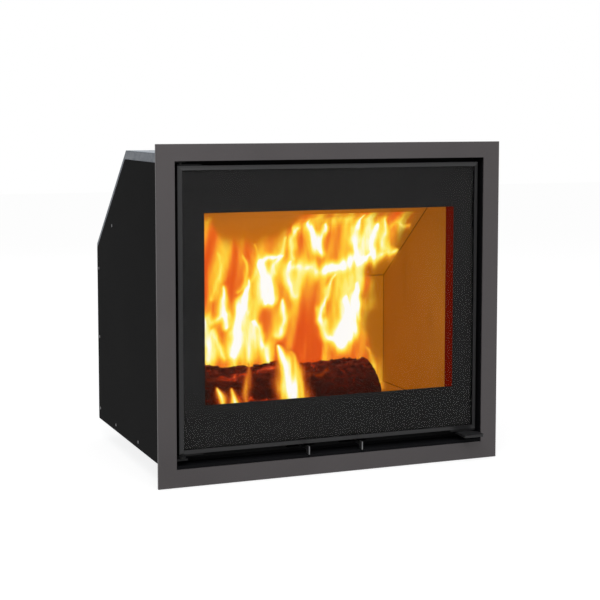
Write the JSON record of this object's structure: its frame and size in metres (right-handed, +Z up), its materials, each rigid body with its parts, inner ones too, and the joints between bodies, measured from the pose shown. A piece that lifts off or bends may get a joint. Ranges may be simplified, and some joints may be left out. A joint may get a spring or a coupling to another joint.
{
  "type": "fireplace insert",
  "caption": "Built-in wood fireplace insert: glazed side-hung door in a flat trim frame, brick-lined firebox, sloping-back casing, sliding air levers.",
  "frame": {"origin": "floor level under the levelling feet, midway between the handle's tip and the casing's rear face, on the centre line", "axes": "+Z up, the glazed door faces -Y, +X to the right seen from the front"},
  "size_m": [0.656, 0.488, 0.5915],
  "materials": {
    "trim": "warm dark grey powder coat, fine grain",
    "black_steel": "satin black heat-proof paint on sheet",
    "stove_black": "matt black stove paint",
    "door_rim": "satin black, slightly lighter than the glass border",
    "handle_black": "satin black handle blade with bare edges",
    "galvanised": "hot-dip galvanised sheet with faint spangle",
    "bare_steel": "bare boiler plate with mill scale",
    "bright_steel": "zinc-bright steel",
    "insulating_brick": "pressed tan insulating board, matt and granular, lit by the fire",
    "door_glass": "clear ceramic glass with a black enamelled border",
    "rope_seal": "braided glass-fibre rope, graphite grey",
    "charred_wood": "charred log with glowing cracks",
    "embers": "glowing embers",
    "flames": "flame, luminous"
  },
  "bodies": {
    "insert": {"trim_frame": "trim", "front_surround": "black_steel", "casing_wrap": "galvanised", "side_frame_left": "galvanised", "side_frame_right": "galvanised", "side_panel_left": "black_steel", "side_panel_right": "black_steel", "flue_collar": "black_steel", "base_rail_left": "bare_steel", "base_rail_right": "bare_steel", "firebox_front": "stove_black", "firebox_side_left": "bare_steel", "firebox_side_right": "bare_steel", "firebox_back": "bare_steel", "firebox_top": "bare_steel", "firebox_floor": "bare_steel", "side_brick_left": "insulating_brick", "side_brick_right": "insulating_brick", "back_brick_lower": "insulating_brick", "back_brick_upper": "insulating_brick", "baffle_brick": "insulating_brick", "floor_brick_1": "insulating_brick", "floor_brick_2": "insulating_brick", "floor_brick_3": "insulating_brick", "smoke_deflector": "bare_steel", "air_box": "stove_black", "air_wash_duct": "stove_black", "hinge_bracket_upper": "stove_black", "hinge_bracket_lower": "stove_black", "hinge_washer": "stove_black", "strike_plate": "stove_black", "log_left": "charred_wood", "log_right": "charred_wood", "ember_bed": "embers", "trim_clip_lower_left": "galvanised", "trim_clip_lower_right": "galvanised", "trim_clip_upper_left": "galvanised", "trim_clip_upper_right": "galvanised", "levelling_foot_front_left": "bright_steel", "levelling_foot_front_right": "bright_steel", "levelling_foot_rear_left": "bright_steel", "levelling_foot_rear_right": "bright_steel"},
    "door": {"door_frame": "stove_black", "door_bezel": "door_rim", "door_glass": "door_glass", "window_tape": "rope_seal", "door_gasket": "rope_seal", "hinge_leaf_upper": "stove_black", "hinge_leaf_lower": "stove_black", "handle_bracket": "stove_black", "handle_pin": "bright_steel"},
    "handle": {"handle_lever": "handle_black", "latch_roller": "stove_black"},
    "primary_air": {"primary_air_lever": "bright_steel", "primary_air_register": "bright_steel"},
    "secondary_air": {"secondary_air_lever": "bright_steel", "secondary_air_register": "bright_steel"}
  },
  "joints": [
    {"name": "door_hinge", "type": "hinge", "parent": "insert", "child": "door", "pos_m": [-0.283, -0.206, 0.3], "axis": [0, 0, -1], "range_deg": [0, 110]},
    {"name": "handle_turn", "type": "hinge", "parent": "door", "child": "handle", "pos_m": [0.262, -0.196, 0.05], "axis": [0, 0, -1], "range_deg": [0, 25]},
    {"name": "primary_air_slide", "type": "slide", "parent": "insert", "child": "primary_air", "axis": [1, 0, 0], "range_m": [-0.025, 0.025]},
    {"name": "secondary_air_slide", "type": "slide", "parent": "insert", "child": "secondary_air", "axis": [1, 0, 0], "range_m": [-0.025, 0.025]}
  ]
}
